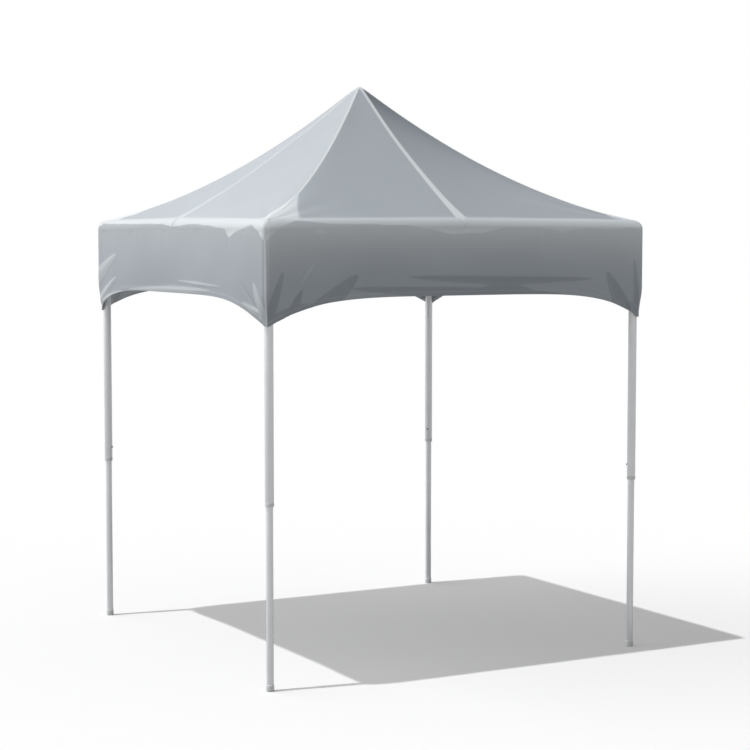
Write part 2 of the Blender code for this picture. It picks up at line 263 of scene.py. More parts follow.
def wovenPolyester(name, dark, light, roughness, specular, crumples=0.35, toned=False):
    # coated woven polyester: an even grey with a low sheen, fine threads and soft crumples. A toned one
    # takes painted highlights and painted shade from its mesh. A wave texture's bands are pi / 10 apart at
    # scale 1.
    material, tree, shader = newMaterial(name, {"Roughness": roughness, "Specular IOR Level": specular})
    where = addNode(tree, "ShaderNodeTexCoord")
    threads = []
    for direction in ("X", "Y"):
        wave = addNode(tree, "ShaderNodeTexWave",
                       {"bands_direction": direction, "Scale": math.pi / 10 / clothLook["thread"],
                        "Distortion": 0.6, "Detail": 1.0, "Detail Scale": 2.0},
                       {"Vector": where.outputs["UV"]})
        threads.append(wave.outputs["Fac"])
    weave = addNode(tree, "ShaderNodeMath", {"operation": "MULTIPLY"}, {0: threads[0], 1: threads[1]})
    crumple = addNode(tree, "ShaderNodeTexNoise",
                      {"Scale": 1 / clothLook["crumple"], "Detail": 5.0, "Roughness": 0.45},
                      {"Vector": where.outputs["Object"]})
    patch = addNode(tree, "ShaderNodeTexNoise", {"Scale": 1 / clothLook["patch"], "Detail": 3.0},
                    {"Vector": where.outputs["Object"]})
    colour = mixColours(tree, patch.outputs["Fac"], dark, light)
    if toned:
        tone = addNode(tree, "ShaderNodeAttribute", {"attribute_name": "tone"}).outputs["Fac"]
        for end, code in ((1.0, clothLook["paintedHighlight"]), (-1.0, clothLook["paintedShade"])):
            share = addNode(tree, "ShaderNodeMapRange", {"From Max": end}, {"Value": tone})
            colour = mixColours(tree, share.outputs["Result"], colour, code)
    tree.links.new(colour, shader.inputs["Base Color"])
    soft = addNode(tree, "ShaderNodeBump", {"Strength": crumples, "Distance": 0.006},
                   {"Height": crumple.outputs["Fac"]})
    fine = addNode(tree, "ShaderNodeBump", {"Strength": 0.25, "Distance": 0.0006},
                   {"Height": weave.outputs["Value"], "Normal": soft.outputs["Normal"]})
    tree.links.new(fine.outputs["Normal"], shader.inputs["Normal"])
    return material


polyester = wovenPolyester("coated_woven_polyester", clothLook["dark"], clothLook["light"], 0.62, 0.35,
                           toned=True)
polyesterInside = wovenPolyester("polyester_coating_side", "#cfd3d6", "#d8dbde", 0.5, 0.4)
binding = wovenPolyester("polyester_binding_tape", "#cbd1d4", "#d7dcdf", 0.6, 0.35, 0.1)
webbing = wovenPolyester("polyester_webbing", "#7d8286", "#888d91", 0.7, 0.3, 0.1)

# The other finishes: two colours that drift over a hand's breadth, the grain's width and height in
# metres, the least and most roughness, and the colour of the scuffs
finishes = {
    # steel with a silver powder coat: pale, a little metallic, soft gloss, with the coat's orange peel
    "silver_powder_coated_steel": {"dark": "#dcdee0", "light": "#e6e8ea", "grain": 0.004, "bump": 0.00004,
                                   "rough": (0.34, 0.46), "metallic": 0.28, "scuff": "#c2c4c6"},
    # extruded aluminium with a satin anodised film: duller and greyer than the steel, a little more metallic
    "satin_anodised_aluminium": {"dark": "#b4b8bb", "light": "#c6c9cc", "grain": 0.003, "bump": 0.00003,
                                 "rough": (0.32, 0.44), "metallic": 0.55, "scuff": "#96999c"},
    # injection-moulded nylon: mid grey, spark-eroded grain 1 mm wide, satin
    "moulded_nylon": {"dark": "#6d7174", "light": "#7a7e81", "grain": 0.001, "bump": 0.00008,
                      "rough": (0.48, 0.6), "scuff": "#909396"},
    # zinc-plated steel: bright, slightly blotched by the plating bath
    "zinc_plated_steel": {"dark": "#a9acae", "light": "#c4c6c8", "grain": 0.006, "bump": 0.00002,
                          "rough": (0.28, 0.4), "metallic": 1.0, "scuff": "#8d9092"},
    # acetal push buttons: darker and smoother than the nylon round them
    "acetal": {"dark": "#46494c", "light": "#505356", "grain": 0.002, "bump": 0.00003,
               "rough": (0.3, 0.38), "scuff": "#6a6d70"},
    # polypropylene feet and leg bushes: pale grey and waxy, with dusty scuffs
    "polypropylene": {"dark": "#e0e2e3", "light": "#eaebec", "grain": 0.003, "bump": 0.00008,
                      "rough": (0.45, 0.6), "scuff": "#c4c3be"},
    # twisted polyester sewing thread: pale grey, matt, with a fine fuzz
    "polyester_thread": {"dark": "#cdd0d2", "light": "#d9dcde", "grain": 0.0006, "bump": 0.00010,
                         "rough": (0.55, 0.7), "scuff": "#b5b8ba"},
}


scuffSize = 1 / 60           # of the scuffs, in metres
driftSize = 1 / 9            # of the places where the two colours drift


def plainFinish(name):
    look = finishes[name]
    material, tree, shader = newMaterial(name, {"Metallic": look.get("metallic", 0.0)})
    where = addNode(tree, "ShaderNodeTexCoord").outputs["Object"]
    drift = addNode(tree, "ShaderNodeTexNoise", {"Scale": 1 / driftSize, "Detail": 3.0}, {"Vector": where})
    grain = addNode(tree, "ShaderNodeTexNoise", {"Scale": 1 / look["grain"], "Detail": 2.0},
                    {"Vector": where})
    marks = addNode(tree, "ShaderNodeTexNoise",
                    {"Scale": 1 / scuffSize, "Detail": 6.0, "Roughness": 0.7, "Distortion": 1.5},
                    {"Vector": where})
    scuffs = addNode(tree, "ShaderNodeMapRange", {"From Min": 0.64, "From Max": 0.72, "To Max": 0.7},
                     {"Value": marks.outputs["Fac"]})
    colour = mixColours(tree, drift.outputs["Fac"], look["dark"], look["light"])
    colour = mixColours(tree, scuffs.outputs["Result"], colour, look["scuff"])
    tree.links.new(colour, shader.inputs["Base Color"])
    rough = addNode(tree, "ShaderNodeMapRange", {"To Min": look["rough"][0], "To Max": look["rough"][1]},
                    {"Value": marks.outputs["Fac"]})
    tree.links.new(rough.outputs["Result"], shader.inputs["Roughness"])
    bump = addNode(tree, "ShaderNodeBump", {"Strength": 0.6, "Distance": look["bump"]},
                   {"Height": grain.outputs["Fac"]})
    tree.links.new(bump.outputs["Normal"], shader.inputs["Normal"])
    return material


coatedSteel, aluminium, nylon, zinc, acetal, polypropylene, thread = (plainFinish(name) for name in finishes)
print("materials made")

# The canopy's shape, in metres. Each panel is made facing -Y and turned to its side.
canopy = {
    "halfWidth": 1.010,
    "eaveHeight": 2.05,
    "peakRise": 0.68,
    "hipSag": 0.100,         # below a straight line, half way down a corner ridge
    "seamSag": 0.040,        # the same, down the middle seam of a roof face
    "seamPower": 1.15,       # 1 would be a sharp crease along the middle seam
    "billow": 0.007,         # how far the middle of each gore hangs below that
    "peakRounding": 0.015,
    "ridgeRounding": 0.035,  # width of a ridge's round top, as a share of its distance from the peak
    "rollRadius": 0.042,     # of the edge where the roof turns down into the valance
    "cornerRadius": 0.034,
    "rays": 22,              # tension folds that fan over the roof from a corner: more is closer together
    "rayDepth": 0.0025,
    "rayReach": 0.16,        # where they are deepest, from the corner
    "waveDepth": 0.0016,     # slow waves in the roof
    "waveLength": 0.42,
    "dropMiddle": 0.325,     # of the valance's lower edge below the eave
    "dropCorner": 0.445,
    "archPower": 5.0,
    "tip": 0.024,            # how far from a corner the valance's lower edge is level
    "thickness": 0.0007,
    "seamDrop": 0.004,       # from the seam between roof and valance to the ends of the roof's tapes
    "belly": 0.012,          # how far the valance swings out below the edge
    "tuckedIn": 0.015,       # how far its corners are drawn in to the legs at the bottom
    "hem": 0.022,
    "hemDepth": 0.0008,
    "roofColumns": 176,
    "roofRows": 96,
    "valanceColumns": 380,
    "valanceRows": 80,
}
halfOutline = canopy["halfWidth"] - canopy["cornerRadius"] * (1 - math.pi / 4)


def ripple(x, y, length, seed, count=7):
    # gentle waviness: a sum of sines in chance directions, about length metres apart
    chance = np.random.default_rng(seed)
    total = np.zeros(np.broadcast(x, y).shape)
    for _ in range(count):
        angle = chance.uniform(0, math.pi)
        size = length * chance.uniform(0.7, 1.6)
        shift = chance.uniform(0, 2 * math.pi)
        total += np.sin((x * math.cos(angle) + y * math.sin(angle)) * 2 * math.pi / size + shift)
    return total / math.sqrt(count)


def roofHeight(x, y):
    # height of the roof over a plan point: straight down from the peak, less a sag that is deeper at
    # the ridges than at the middle seams. A smooth maximum of |x| and |y| rounds the ridges.
    x, y = np.abs(x), np.abs(y)
    big, small = np.maximum(x, y), np.minimum(x, y)
    reach = (x + y + np.hypot(x - y, canopy["ridgeRounding"] * big)) / 2
    out = reach / canopy["halfWidth"]
    along = small / np.maximum(big, 1e-6)
    slope = 1 - (np.hypot(out, canopy["peakRounding"]) - canopy["peakRounding"])
    hollow = 4 * out * (1 - out)
    sag = canopy["seamSag"] + (canopy["hipSag"] - canopy["seamSag"]) * along ** canopy["seamPower"]
    billow = canopy["billow"] * np.sin(math.pi * along) * hollow
    return canopy["eaveHeight"] + canopy["peakRise"] * slope - sag * hollow - billow


def cornerRays(x, y):
    # tension folds that fan over the roof from a corner, strongest a hand's breadth from it
    fromCorner = np.stack([canopy["halfWidth"] - np.abs(x), canopy["halfWidth"] - np.abs(y)])
    distance = np.hypot(*fromCorner)
    angle = np.arctan2(fromCorner[1], fromCorner[0])
    distance = distance / canopy["rayReach"]
    strength = canopy["rayDepth"] * distance * np.exp(1 - distance)
    return strength * np.sin(angle * canopy["rays"]) * np.sin(2 * angle)


def roofSkin(x, y, side, lift=0.0):
    # a point of the roof face that faces -Y, with its own slight waves away from its edges
    big, small = np.maximum(np.abs(x), np.abs(y)), np.minimum(np.abs(x), np.abs(y))
    inside = (1 - (small / np.maximum(big, 1e-6)) ** 4) * 4 * big * np.maximum(0.98 - big, 0)
    waves = canopy["waveDepth"] * ripple(x, y, canopy["waveLength"], 70 + side) * inside
    return np.stack([x, y, roofHeight(x, y) + cornerRays(x, y) + waves + lift], axis=-1)


def outline(s, inset=0.0):
    # the rounded square seen from above: plan points and normals at arc length s from the middle of
    # the side that faces -Y, drawn in by inset
    straight = canopy["halfWidth"] - canopy["cornerRadius"]
    turn = np.maximum(np.abs(s) - straight, 0) / canopy["cornerRadius"]
    normal = np.stack([np.sign(s) * np.sin(turn), -np.cos(turn)], axis=-1)
    middle = np.stack([np.clip(s, -straight, straight), np.full_like(s, -straight)], axis=-1)
    return middle + normal * (canopy["cornerRadius"] - np.asarray(inset))[..., None], normal


def edgeOf(s):
    # where the roof starts to turn down: slope angle, plan point there, and height of the roll's centre
    radius = canopy["rollRadius"]
    point, normal = outline(s, np.full_like(s, radius * 0.7))
    step = 0.01
    inner = point - normal * step
    fall = (roofHeight(inner[..., 0], inner[..., 1]) - roofHeight(point[..., 0], point[..., 1])) / step
    slope = np.arctan(fall)
    point, _ = outline(s, radius * (1 - np.sin(slope)))
    centre = roofHeight(point[..., 0], point[..., 1]) - radius * np.cos(slope)
    return slope, point, centre


def rollSkin(turn, s, lift=0.0):
    # the edge roll: turn goes from 0 at the roof to 1 where the cloth hangs straight down
    slope, _, centre = edgeOf(s)
    angle = slope + (math.pi / 2 - slope) * turn
    radius = canopy["rollRadius"] + lift
    plan, _ = outline(s, canopy["rollRadius"] - radius * np.sin(angle))
    return np.concatenate([plan, (centre + radius * np.cos(angle))[..., None]], axis=-1)


def valanceBottom(s):
    # height of the lower edge: it falls with a power of the distance from the middle of the side
    along = np.minimum(np.abs(s) / (halfOutline - canopy["tip"]), 1)
    arch = (canopy["dropCorner"] - canopy["dropMiddle"]) * along ** canopy["archPower"]
    return canopy["eaveHeight"] - canopy["dropMiddle"] - arch


# Folds that the valance keeps from its corners' pull and from packing. Each is a spike: its root and its tip
# (along the side, height), its half width at the root, how far it stands out or in, and how much painted
# highlight (1) or painted shade (-1) it carries. The back is the front mirrored, the right is the left.
frontFolds = (
    (-0.985, 1.640, -0.919, 1.843, 0.026, -0.007, -1),
    (-0.885, 1.640, -0.834, 1.763, 0.028, -0.005, -1),
    (-0.735, 1.675, -0.558, 1.822, 0.050, -0.009, -1),
    (0.000, 1.735, -0.595, 1.763, 0.028, -0.004, -1),
    (0.000, 1.735, 0.520, 1.722, 0.028, -0.004, -1),
    (0.200, 1.788, -0.301, 1.811, 0.021, -0.006, -1),
    (0.200, 1.788, 0.694, 1.792, 0.021, -0.006, -1),
    (0.880, 1.655, 0.781, 1.823, 0.048, -0.009, -1),
    (0.968, 1.640, 0.946, 1.880, 0.020, -0.003, -1),
    (-0.930, 1.650, -0.760, 1.880, 0.024, 0.003, 0),
    (0.960, 1.650, 0.700, 1.740, 0.018, 0.006, 0),
)
leftFolds = (
    (-0.985, 1.785, -0.722, 1.898, 0.042, 0.005, 1),
    (-0.950, 1.660, -0.703, 1.783, 0.032, 0.008, 1),
    (-0.920, 1.655, -0.615, 1.716, 0.022, 0.006, 1),
    (0.000, 1.738, -0.530, 1.727, 0.020, 0.004, 1),
    (0.000, 1.738, 0.464, 1.746, 0.020, 0.004, 1),
    (0.300, 1.774, 0.080, 1.783, 0.009, 0.003, 1),
    (0.300, 1.774, 0.582, 1.766, 0.009, 0.003, 1),
    (0.975, 1.655, 0.907, 1.791, 0.030, 0.008, 1),
    (0.985, 1.650, 0.805, 1.704, 0.020, 0.005, 1),
    (0.955, 1.660, 0.780, 1.800, 0.018, -0.003, 0),
)
sideFolds = (frontFolds, leftFolds, frontFolds, leftFolds)
# Painted shade along the hem: places along the side, with a half width and a height
frontHemShade = ((-0.93, 0.170, 0.040), (0.20, 0.170, 0.056), (0.96, 0.070, 0.060))
sideHemShade = (frontHemShade, (), frontHemShade, ())
foldTone = (-0.30, 0.34)      # of the folds' painted shade, and of their painted highlights
mirrored = (1, -1, -1, 1)     # 1 for the sides that the folds are written for
# The pale edge, a painted highlight along the edge roll and the top of the valance: the height of its
# lower line at places along the side
frontEdge = ((-1.01, 1.962), (-0.96, 2.010), (-0.92, 2.042), (-0.85, 2.062), (-0.68, 2.049), (-0.30, 2.042),
             (-0.17, 2.023), (-0.09, 2.006), (0.09, 2.006), (0.14, 2.020), (0.25, 2.035), (0.40, 2.033),
             (0.55, 2.018), (0.69, 2.031), (0.80, 2.022), (0.90, 2.034), (1.01, 2.026))
leftEdge = ((-1.01, 2.030), (-0.92, 2.052), (-0.14, 2.050), (0.00, 2.035), (0.22, 2.049), (0.39, 2.044),
            (0.60, 2.026), (0.64, 1.990), (0.73, 2.015), (0.88, 2.043), (0.95, 2.017), (1.01, 1.962))
sideEdge = (frontEdge, leftEdge, frontEdge, leftEdge)
edgeHighlight = {"wave": 0.0015, "waveLength": 0.12, "blur": 0.004, "full": 0.05}
edgeTop = (0.38, 0.38, 0.38, 0.72)         # how strong the painted highlight is where it starts. It is 1 at its lower line.
# How pale each roof face's two gores are, before and after its middle seam: painted light and painted shade
goreLight = ((-0.17, -0.25), (-0.25, -0.17), (-0.17, -0.25), (0.18, 0.24))
# Painted highlights along the seams and ridges: half widths at the peak, and how they widen to the eave
seamHighlight = {"seam": 0.008, "seamSpread": 0.008, "seamFoot": 0.016, "ridge": 0.008, "ridgeFoot": 0.150,
           "ridgeStart": 0.68, "tone": 0.60, "leftTone": 0.90}
valanceHighlight = (0.80, 0.30, 0.50, 0.28)     # painted highlight at each valance's top, fading downwards
# Small puckers that hang from the edge roll, each a bell along the side and down from it, and a slow
# sway of the whole valance. A pair is the least and the most.
hanging = {
    "puckers": 24,
    "puckerWidth": (0.016, 0.040),
    "puckerLength": (0.04, 0.12),
    "puckerDepth": (-0.002, 0.002),
    "sway": 0.0022,
    "swayLength": 0.55,
}


def spikeShape(along, z, spike):
    # 1 inside a spike and 0 outside, and how far it stands out there, as a share
    startS, startZ, endS, endZ, width = spike[:5]
    run, rise = endS - startS, endZ - startZ
    length = math.hypot(run, rise)
    share = ((along - startS) * run + (z - startZ) * rise) / length ** 2
    tapered = np.clip(1 - share, 0, 1) ** 0.5
    cap = np.sqrt(np.clip(1 - (np.minimum(share, 0) * length / width) ** 2, 0, 1))
    half = width * np.where(share < 0, cap, tapered)
    across = np.abs((z - startZ) * run - (along - startS) * rise) / length
    inside = smooth((half - across) / 0.005 + 0.5) * smooth(half / 0.002)
    return inside, np.minimum(tapered, cap) * np.exp(-1.5 * (across / np.maximum(half, 0.004)) ** 2)


def edgeTone(z, s, side):
    # 1 above the pale edge's lower line, else 0, and how strong its painted highlight is there
    places, heights = np.array(sideEdge[side]).T
    line = np.interp(s * mirrored[side], places, heights)
    line = line + edgeHighlight["wave"] * ripple(s, 0 * s, edgeHighlight["waveLength"], 60 + side, 5)
    full = smooth((canopy["eaveHeight"] - z) / edgeHighlight["full"] + 0.5)
    return smooth((z - line) / edgeHighlight["blur"] + 0.5), edgeTop[side] + (1 - edgeTop[side]) * full


def valancePaintedLight(down, side):
    # the valance's painted light at a share of its depth: a painted highlight at the top, slight painted shade
    # lower
    return valanceHighlight[side] * (1 - down) ** 2.6 - 0.06 * down


def valanceForm(s, h, side):
    # how far the valance stands out from the outline h below the roll's centre, and its cloth's tone, which
    # holds its painted highlights and painted shade
    chance = np.random.default_rng(40 + side)
    z = edgeOf(s)[2] - h
    down = np.clip(h / (canopy["eaveHeight"] - canopy["rollRadius"] - valanceBottom(s)), 0, 1)
    fromCorner = np.maximum(halfOutline - np.abs(s), 0)
    away = smooth((fromCorner - 0.010) / 0.03)
    along = s * mirrored[side]
    relief, paintedShade, paintedHighlight = np.zeros_like(z), np.zeros_like(z), np.zeros_like(z)
    for spike in sideFolds[side]:
        inside, share = spikeShape(along, z, spike)
        relief = np.where(share * abs(spike[5]) > np.abs(relief), spike[5] * share, relief)
        paintedShade = np.maximum(paintedShade, inside * max(-spike[6], 0))
        paintedHighlight = np.maximum(paintedHighlight, inside * max(spike[6], 0))
    for place in chance.uniform(-0.95, 0.95, hanging["puckers"]):
        width, far, size = (chance.uniform(*hanging[f"pucker{kind}"]) for kind in ("Width", "Length", "Depth"))
        relief = relief + size * np.exp(-((s - place) / width) ** 2 - (h / far) ** 2) * smooth(h / 0.03)
    relief = relief + hanging["sway"] * ripple(s, z * 1.5, hanging["swayLength"], 50 + side) * down
    swing = canopy["belly"] * smooth(down / 0.9) * smooth(fromCorner / 0.25)
    tuck = canopy["tuckedIn"] * smooth((1.75 - z) / 0.14) * (1 - smooth(fromCorner / 0.12))
    fromHem = z - valanceBottom(s)
    hem = canopy["hemDepth"] * smooth((canopy["hem"] - fromHem) / 0.003)
    # painted shade along the hem
    for place, width, height in sideHemShade[side]:
        reach = height * np.exp(-((along - place) / width) ** 2)
        paintedShade = np.maximum(paintedShade, smooth((reach - fromHem) / 0.006 + 0.5) * smooth(reach / 0.004))
    # painted shade of the folds and the hem, painted highlights of the folds, and the valance's painted light
    tone = foldTone[0] * paintedShade + foldTone[1] * paintedHighlight * (1 - paintedShade) + valancePaintedLight(down, side)
    # above the pale edge's lower line the cloth takes its painted highlight
    edge, edgeLight = edgeTone(z, s, side)
    return relief * away + swing - tuck + hem, tone * (1 - edge) + edgeLight * edge


def valanceSkin(h, s, side, lift=0.0):
    # a point of the valance: the outline at arc length s, moved out by its form, h below the roll's centre
    plan, normal = outline(s)
    plan = plan + normal * (valanceForm(s, h, side)[0] + lift)[..., None]
    return np.concatenate([plan, (edgeOf(s)[2] - h)[..., None]], axis=-1)


def turned(points, side):
    # plan points of the side that faces -Y, turned to another side
    x, y, z = np.moveaxis(np.asarray(points, float), -1, 0)
    out, right = outward[side], rightward[side]
    return np.stack([x * right[0] - y * out[0], x * right[1] - y * out[1], z], axis=-1)


# How the cloth gathers as the frame folds. It is drawn in by the four middle brackets and let down by
# the peak pole, each in proportion to how far out, or how high, a point is.
folding = {
    "bracketWay": 0.8305,   # how far the brackets move in
    "poleWay": 0.6844,      # how far the pole goes down
    "lying": 2.055,         # height of the folded roof, just above the brackets
    "hollow": 0.45,         # how deep it sinks between the folded trusses
    "hollowFrom": 0.20,     # where the hollow starts and ends, from the tent's axis
    "hollowTo": 0.79,
    "hollowEdge": 0.16,
    "pleat": 0.2425,        # width of a pleat of the valance, measured on the standing tent
    "pleatDepth": 0.075,
    "pleatFrom": 0.80,      # where the pleats start to stand out of the roof, and where they are full
    "pleatTo": 0.99,
    "levels": 4000,         # steps in a hook's weights
}


def foldShares(points):
    # how much of each body's way a point follows: down with the pole until it lies, in with a bracket in
    # proportion to how far out it is, less the pleats, which are waves along the side
    x, y, z = points.T
    lying = folding["hollow"]
    for v in np.abs([x, y]):
        lying = lying * smooth((v - folding["hollowFrom"]) / folding["hollowEdge"])
        lying = lying * smooth((folding["hollowTo"] - v) / folding["hollowEdge"])
    lying = folding["lying"] - lying
    shares = {"pole": np.clip((z - lying) / folding["poleWay"], 0, 1)}
    for side, name in enumerate(sides):
        out = x * outward[side][0] + y * outward[side][1]
        along = np.clip(x * rightward[side][0] + y * rightward[side][1], -legReach, legReach)
        pleat = folding["pleatDepth"] * (1 - np.cos(2 * math.pi * along / folding["pleat"])) / 2
        pleat = pleat * smooth((out - folding["pleatFrom"]) / (folding["pleatTo"] - folding["pleatFrom"]))
        shares[f"{name}_upper_bracket"] = np.clip(out / legReach, 0, 1) - pleat / folding["bracketWay"]
    return shares


def gather(piece):
    # one hook for each body that draws the cloth, with the points' shares as its weights
    points = np.empty(len(piece.data.vertices) * 3, np.float32)
    piece.data.vertices.foreach_get("co", points)
    bpy.context.view_layer.update()
    levels = folding["levels"]
    for body, share in foldShares(points.reshape(-1, 3)).items():
        level = np.round(np.maximum(share, 0) * levels).astype(int)
        order = np.argsort(level, kind="stable")
        group = piece.vertex_groups.new(name=body)
        for members in np.split(order, np.flatnonzero(np.diff(level[order])) + 1):
            if level[members[0]] > 0:
                group.add(members.tolist(), level[members[0]] / levels, "REPLACE")
        hook = piece.modifiers.new(body, "HOOK")
        hook.object = frame["bodies"][body]
        hook.vertex_group = group.name
        hook.matrix_inverse = hook.object.matrix_world.inverted() @ piece.matrix_world


def clothPiece(name, points, materials, thickness, uv, tone=None):
    # a grid of cloth with its fold hooks, then its wall, which grows inwards from the outer face
    rows, columns = points.shape[:2]
    piece = makePiece(name, [(points, [gridFaces(rows, columns, flip=True)], 0)], materials, "frame_centre",
                      sharp=180.0, uv=uv, tone=tone)
    edges = np.empty(len(piece.data.loops), np.int32)
    piece.data.loops.foreach_get("edge_index", edges)
    piece.data.edges.foreach_set("use_edge_sharp", np.bincount(edges) == 1)
    gather(piece)
    wall = piece.modifiers.new("wall", "SOLIDIFY")
    wall.thickness = thickness
    wall.offset = -1.0
    wall.material_offset = len(materials) - 1
    return piece


def spread(count):
    # from -1 to 1, closer together at the middle and at both ends
    u = np.linspace(-1, 1, count)
    return u - 0.6 * np.sin(2 * math.pi * u) / (2 * math.pi)


def lengthDown(points):
    # distance of each row from the first, along the middle column
    steps = np.linalg.norm(np.diff(points[:, points.shape[1] // 2], axis=0), axis=1)
    return np.broadcast_to(np.concatenate([[0], np.cumsum(steps)])[:, None], points.shape[:2])


def gorePattern(roof, fromEdge, side):
    # tone of a roof face: painted light on its gores, painted shade towards one ridge and the peak, painted
    # highlights along the seams and ridges, where the pale strips widen towards the eave, and the pale edge
    x, out = roof[..., 0] * mirrored[side], -roof[..., 1]
    q = out / canopy["halfWidth"]
    past = smooth(x / 0.01 + 0.5)
    fromRidge = out - np.abs(x)
    tone = goreLight[side][0] * (1 - past) + goreLight[side][1] * past
    # painted shade on the far gore of the front and back faces, strongest at the peak and along the ridge
    if side % 2 == 0:
        tone = tone - past * (0.95 * (1 - q) ** 4 + 0.25 * smooth(1 - fromRidge / 0.16) * q * (1 - q) * 2)
    # painted highlights along the middle seam and along the ridge
    width = seamHighlight["seam"] + seamHighlight["seamSpread"] * q + seamHighlight["seamFoot"] * q ** 8
    stripHighlight = smooth((width - np.abs(x)) / 0.005 + 0.5)
    foot = np.clip((q - seamHighlight["ridgeStart"]) / (0.97 - seamHighlight["ridgeStart"]), 0, 1) ** 1.2
    width = seamHighlight["ridge"] + seamHighlight["ridgeFoot"] * foot * np.where(x < 0, 1, 0.4)
    stripHighlight = np.maximum(stripHighlight, smooth((width - fromRidge) / 0.006 + 0.5))
    # the pale edge's painted highlight near the eave
    edge = smooth(1 - fromEdge / 0.030)
    tone = tone * (1 - stripHighlight) + (seamHighlight["tone"] if side < 3 else seamHighlight["leftTone"]) * stripHighlight
    return tone * (1 - edge) + edgeTop[side] * edge


def makeRoof():
    # each face runs from the peak to the edge at equal shares q of the way, then over the edge roll
    s = spread(canopy["roofColumns"] + 1) * halfOutline
    q = np.linspace(0.004, 1, canopy["roofRows"])[:, None] ** 1.15
    turn = np.linspace(0, 1, 16)[1:]
    edge = edgeOf(s)[1]
    pieces = []
    for side, name in enumerate(sides):
        roof = roofSkin(edge[:, 0] * q, edge[:, 1] * q, side)
        roll = rollSkin(*np.meshgrid(turn, s, indexing="ij"))
        points = np.concatenate([roof, roll])
        # the roll takes the pale edge's painted highlight and the valance top's painted highlight
        above, edgeLight = edgeTone(roll[..., 2], s, side)
        plain = valancePaintedLight(0.0, side) * smooth((canopy["eaveHeight"] + 0.010 - roll[..., 2]) / 0.035)
        rolled = plain * (1 - above) + edgeLight * above
        tone = np.concatenate([gorePattern(roof, np.linalg.norm(edge, axis=1) * (1 - q), side), rolled])
        uv = np.stack([points[..., 0], lengthDown(points)], axis=-1)
        pieces.append(clothPiece(f"roof_panel_{name}", turned(points, side), [polyester, polyesterInside],
                                 canopy["thickness"], uv, tone))
    return pieces


def makeValance():
    # arc length along the side by share of the way down to the arched edge
    s = np.linspace(-1, 1, canopy["valanceColumns"] + 1) * halfOutline
    share = np.linspace(0, 1, canopy["valanceRows"])[:, None]
    h = share * (edgeOf(s)[2] - valanceBottom(s))
    s = np.broadcast_to(s, h.shape)
    pieces = []
    for side, name in enumerate(sides):
        points = valanceSkin(h, s, side)
        tone = valanceForm(s, h, side)[1]
        pieces.append(clothPiece(f"valance_panel_{name}", turned(points, side), [polyester, polyesterInside],
                                 canopy["thickness"], np.stack([s, h], axis=-1), tone))
    return pieces


tape = {
    "halfWidth": 0.0060,
    "lift": 0.0008,
    "thickness": 0.0006,
    "stitchLine": 0.0045,   # from the tape's middle
    "stitch": (0.0060, 0.0010, 0.0005),
    "pitch": 0.0090,
    "edgeRows": (0.003, 0.008),     # rows of stitches below the seam between roof and valance
    "hemRow": 0.004,                # another, below the hem's upper edge
    "endOfRows": 0.985,
}


def seamRows(across, side, lift):
    # a strip down the middle seam of a roof face and over the edge roll, its end turned in under the seam
    y = edgeOf(across)[1][:, 1]
    q = np.linspace(0.012, 1, 60)[:, None]
    roof = roofSkin(np.broadcast_to(across, (60, len(across))), y * q, side, lift)
    roll = rollSkin(*np.meshgrid(np.linspace(0, 1, 10)[1:], across, indexing="ij"), lift)
    down, s = np.meshgrid([canopy["seamDrop"] / 2, canopy["seamDrop"]], across, indexing="ij")
    hang = valanceSkin(down, s, side, lift - np.array([[0.0], [3 * tape["thickness"]]]))
    return turned(np.concatenate([roof, roll, hang]), side)


def cornerRows(across, side, lift):
    # a strip down a corner ridge, over the roll and down the valance's corner. Points on the near side
    # of the ridge come from this side's cloth, those past it from the next side's.
    halves = []
    for number, end, part in ((side, 1, across[across <= 0]), ((side + 1) % 4, -1, across[across > 0])):
        def placeOf(distance, inset):
            # arc length on the outline for a distance from the corner's middle on a line drawn in by inset
            radius = canopy["cornerRadius"] - inset
            arc = radius * math.pi / 4
            beyond = np.maximum(np.abs(distance) - arc, 0)
            size = np.minimum(np.abs(distance), arc) * canopy["cornerRadius"] / radius + beyond
            return end * halfOutline + np.sign(distance) * size

        slope = edgeOf(np.array([end * halfOutline]))[0][0]
        inset = canopy["rollRadius"] * (1 - math.sin(slope))
        q = np.linspace(0.03, 1, 90)[:, None]
        edge = edgeOf(placeOf(part * math.sqrt(2) / q, inset))[1]
        roof = roofSkin(edge[..., 0] * q, edge[..., 1] * q, number, lift)
        turn = np.linspace(0, 1, 12)[1:, None]
        inset = canopy["rollRadius"] * (1 - np.sin(slope + (math.pi / 2 - slope) * turn))
        place = placeOf(part * (1 + 0.414 * (1 - turn)), inset)
        roll = rollSkin(np.broadcast_to(turn, place.shape), place, lift)
        place = placeOf(part, 0.0)
        total = edgeOf(place)[2] - valanceBottom(place)
        h = np.linspace(0, 1, 50)[1:, None] * (total + 0.0005)
        hang = valanceSkin(h, np.broadcast_to(place, h.shape), number, lift)
        halves.append(turned(np.concatenate([roof, roll, hang]), number))
    return np.concatenate(halves, axis=1)


def stripUv(points, across):
    # across a strip and down its length
    return np.stack([np.broadcast_to(across, points.shape[:2]), lengthDown(points)], axis=-1)


def makeTapes():
    across = np.linspace(-1, 1, 7) * tape["halfWidth"]
    pieces = []
    for side, name in enumerate(sides):
        points = seamRows(across, side, tape["lift"])
        pieces.append(clothPiece(f"seam_tape_{name}", points, [binding], tape["thickness"],
                                 stripUv(points, across)))
        points = cornerRows(across, side, tape["lift"])
        pieces.append(clothPiece(f"corner_tape_{corners[side]}", points, [binding], tape["thickness"],
                                 stripUv(points, across)))
    return pieces


boxFaces = np.array([(0, 1, 3, 2), (4, 6, 7, 5), (0, 4, 5, 1), (2, 3, 7, 6), (0, 2, 6, 4), (1, 5, 7, 3)])


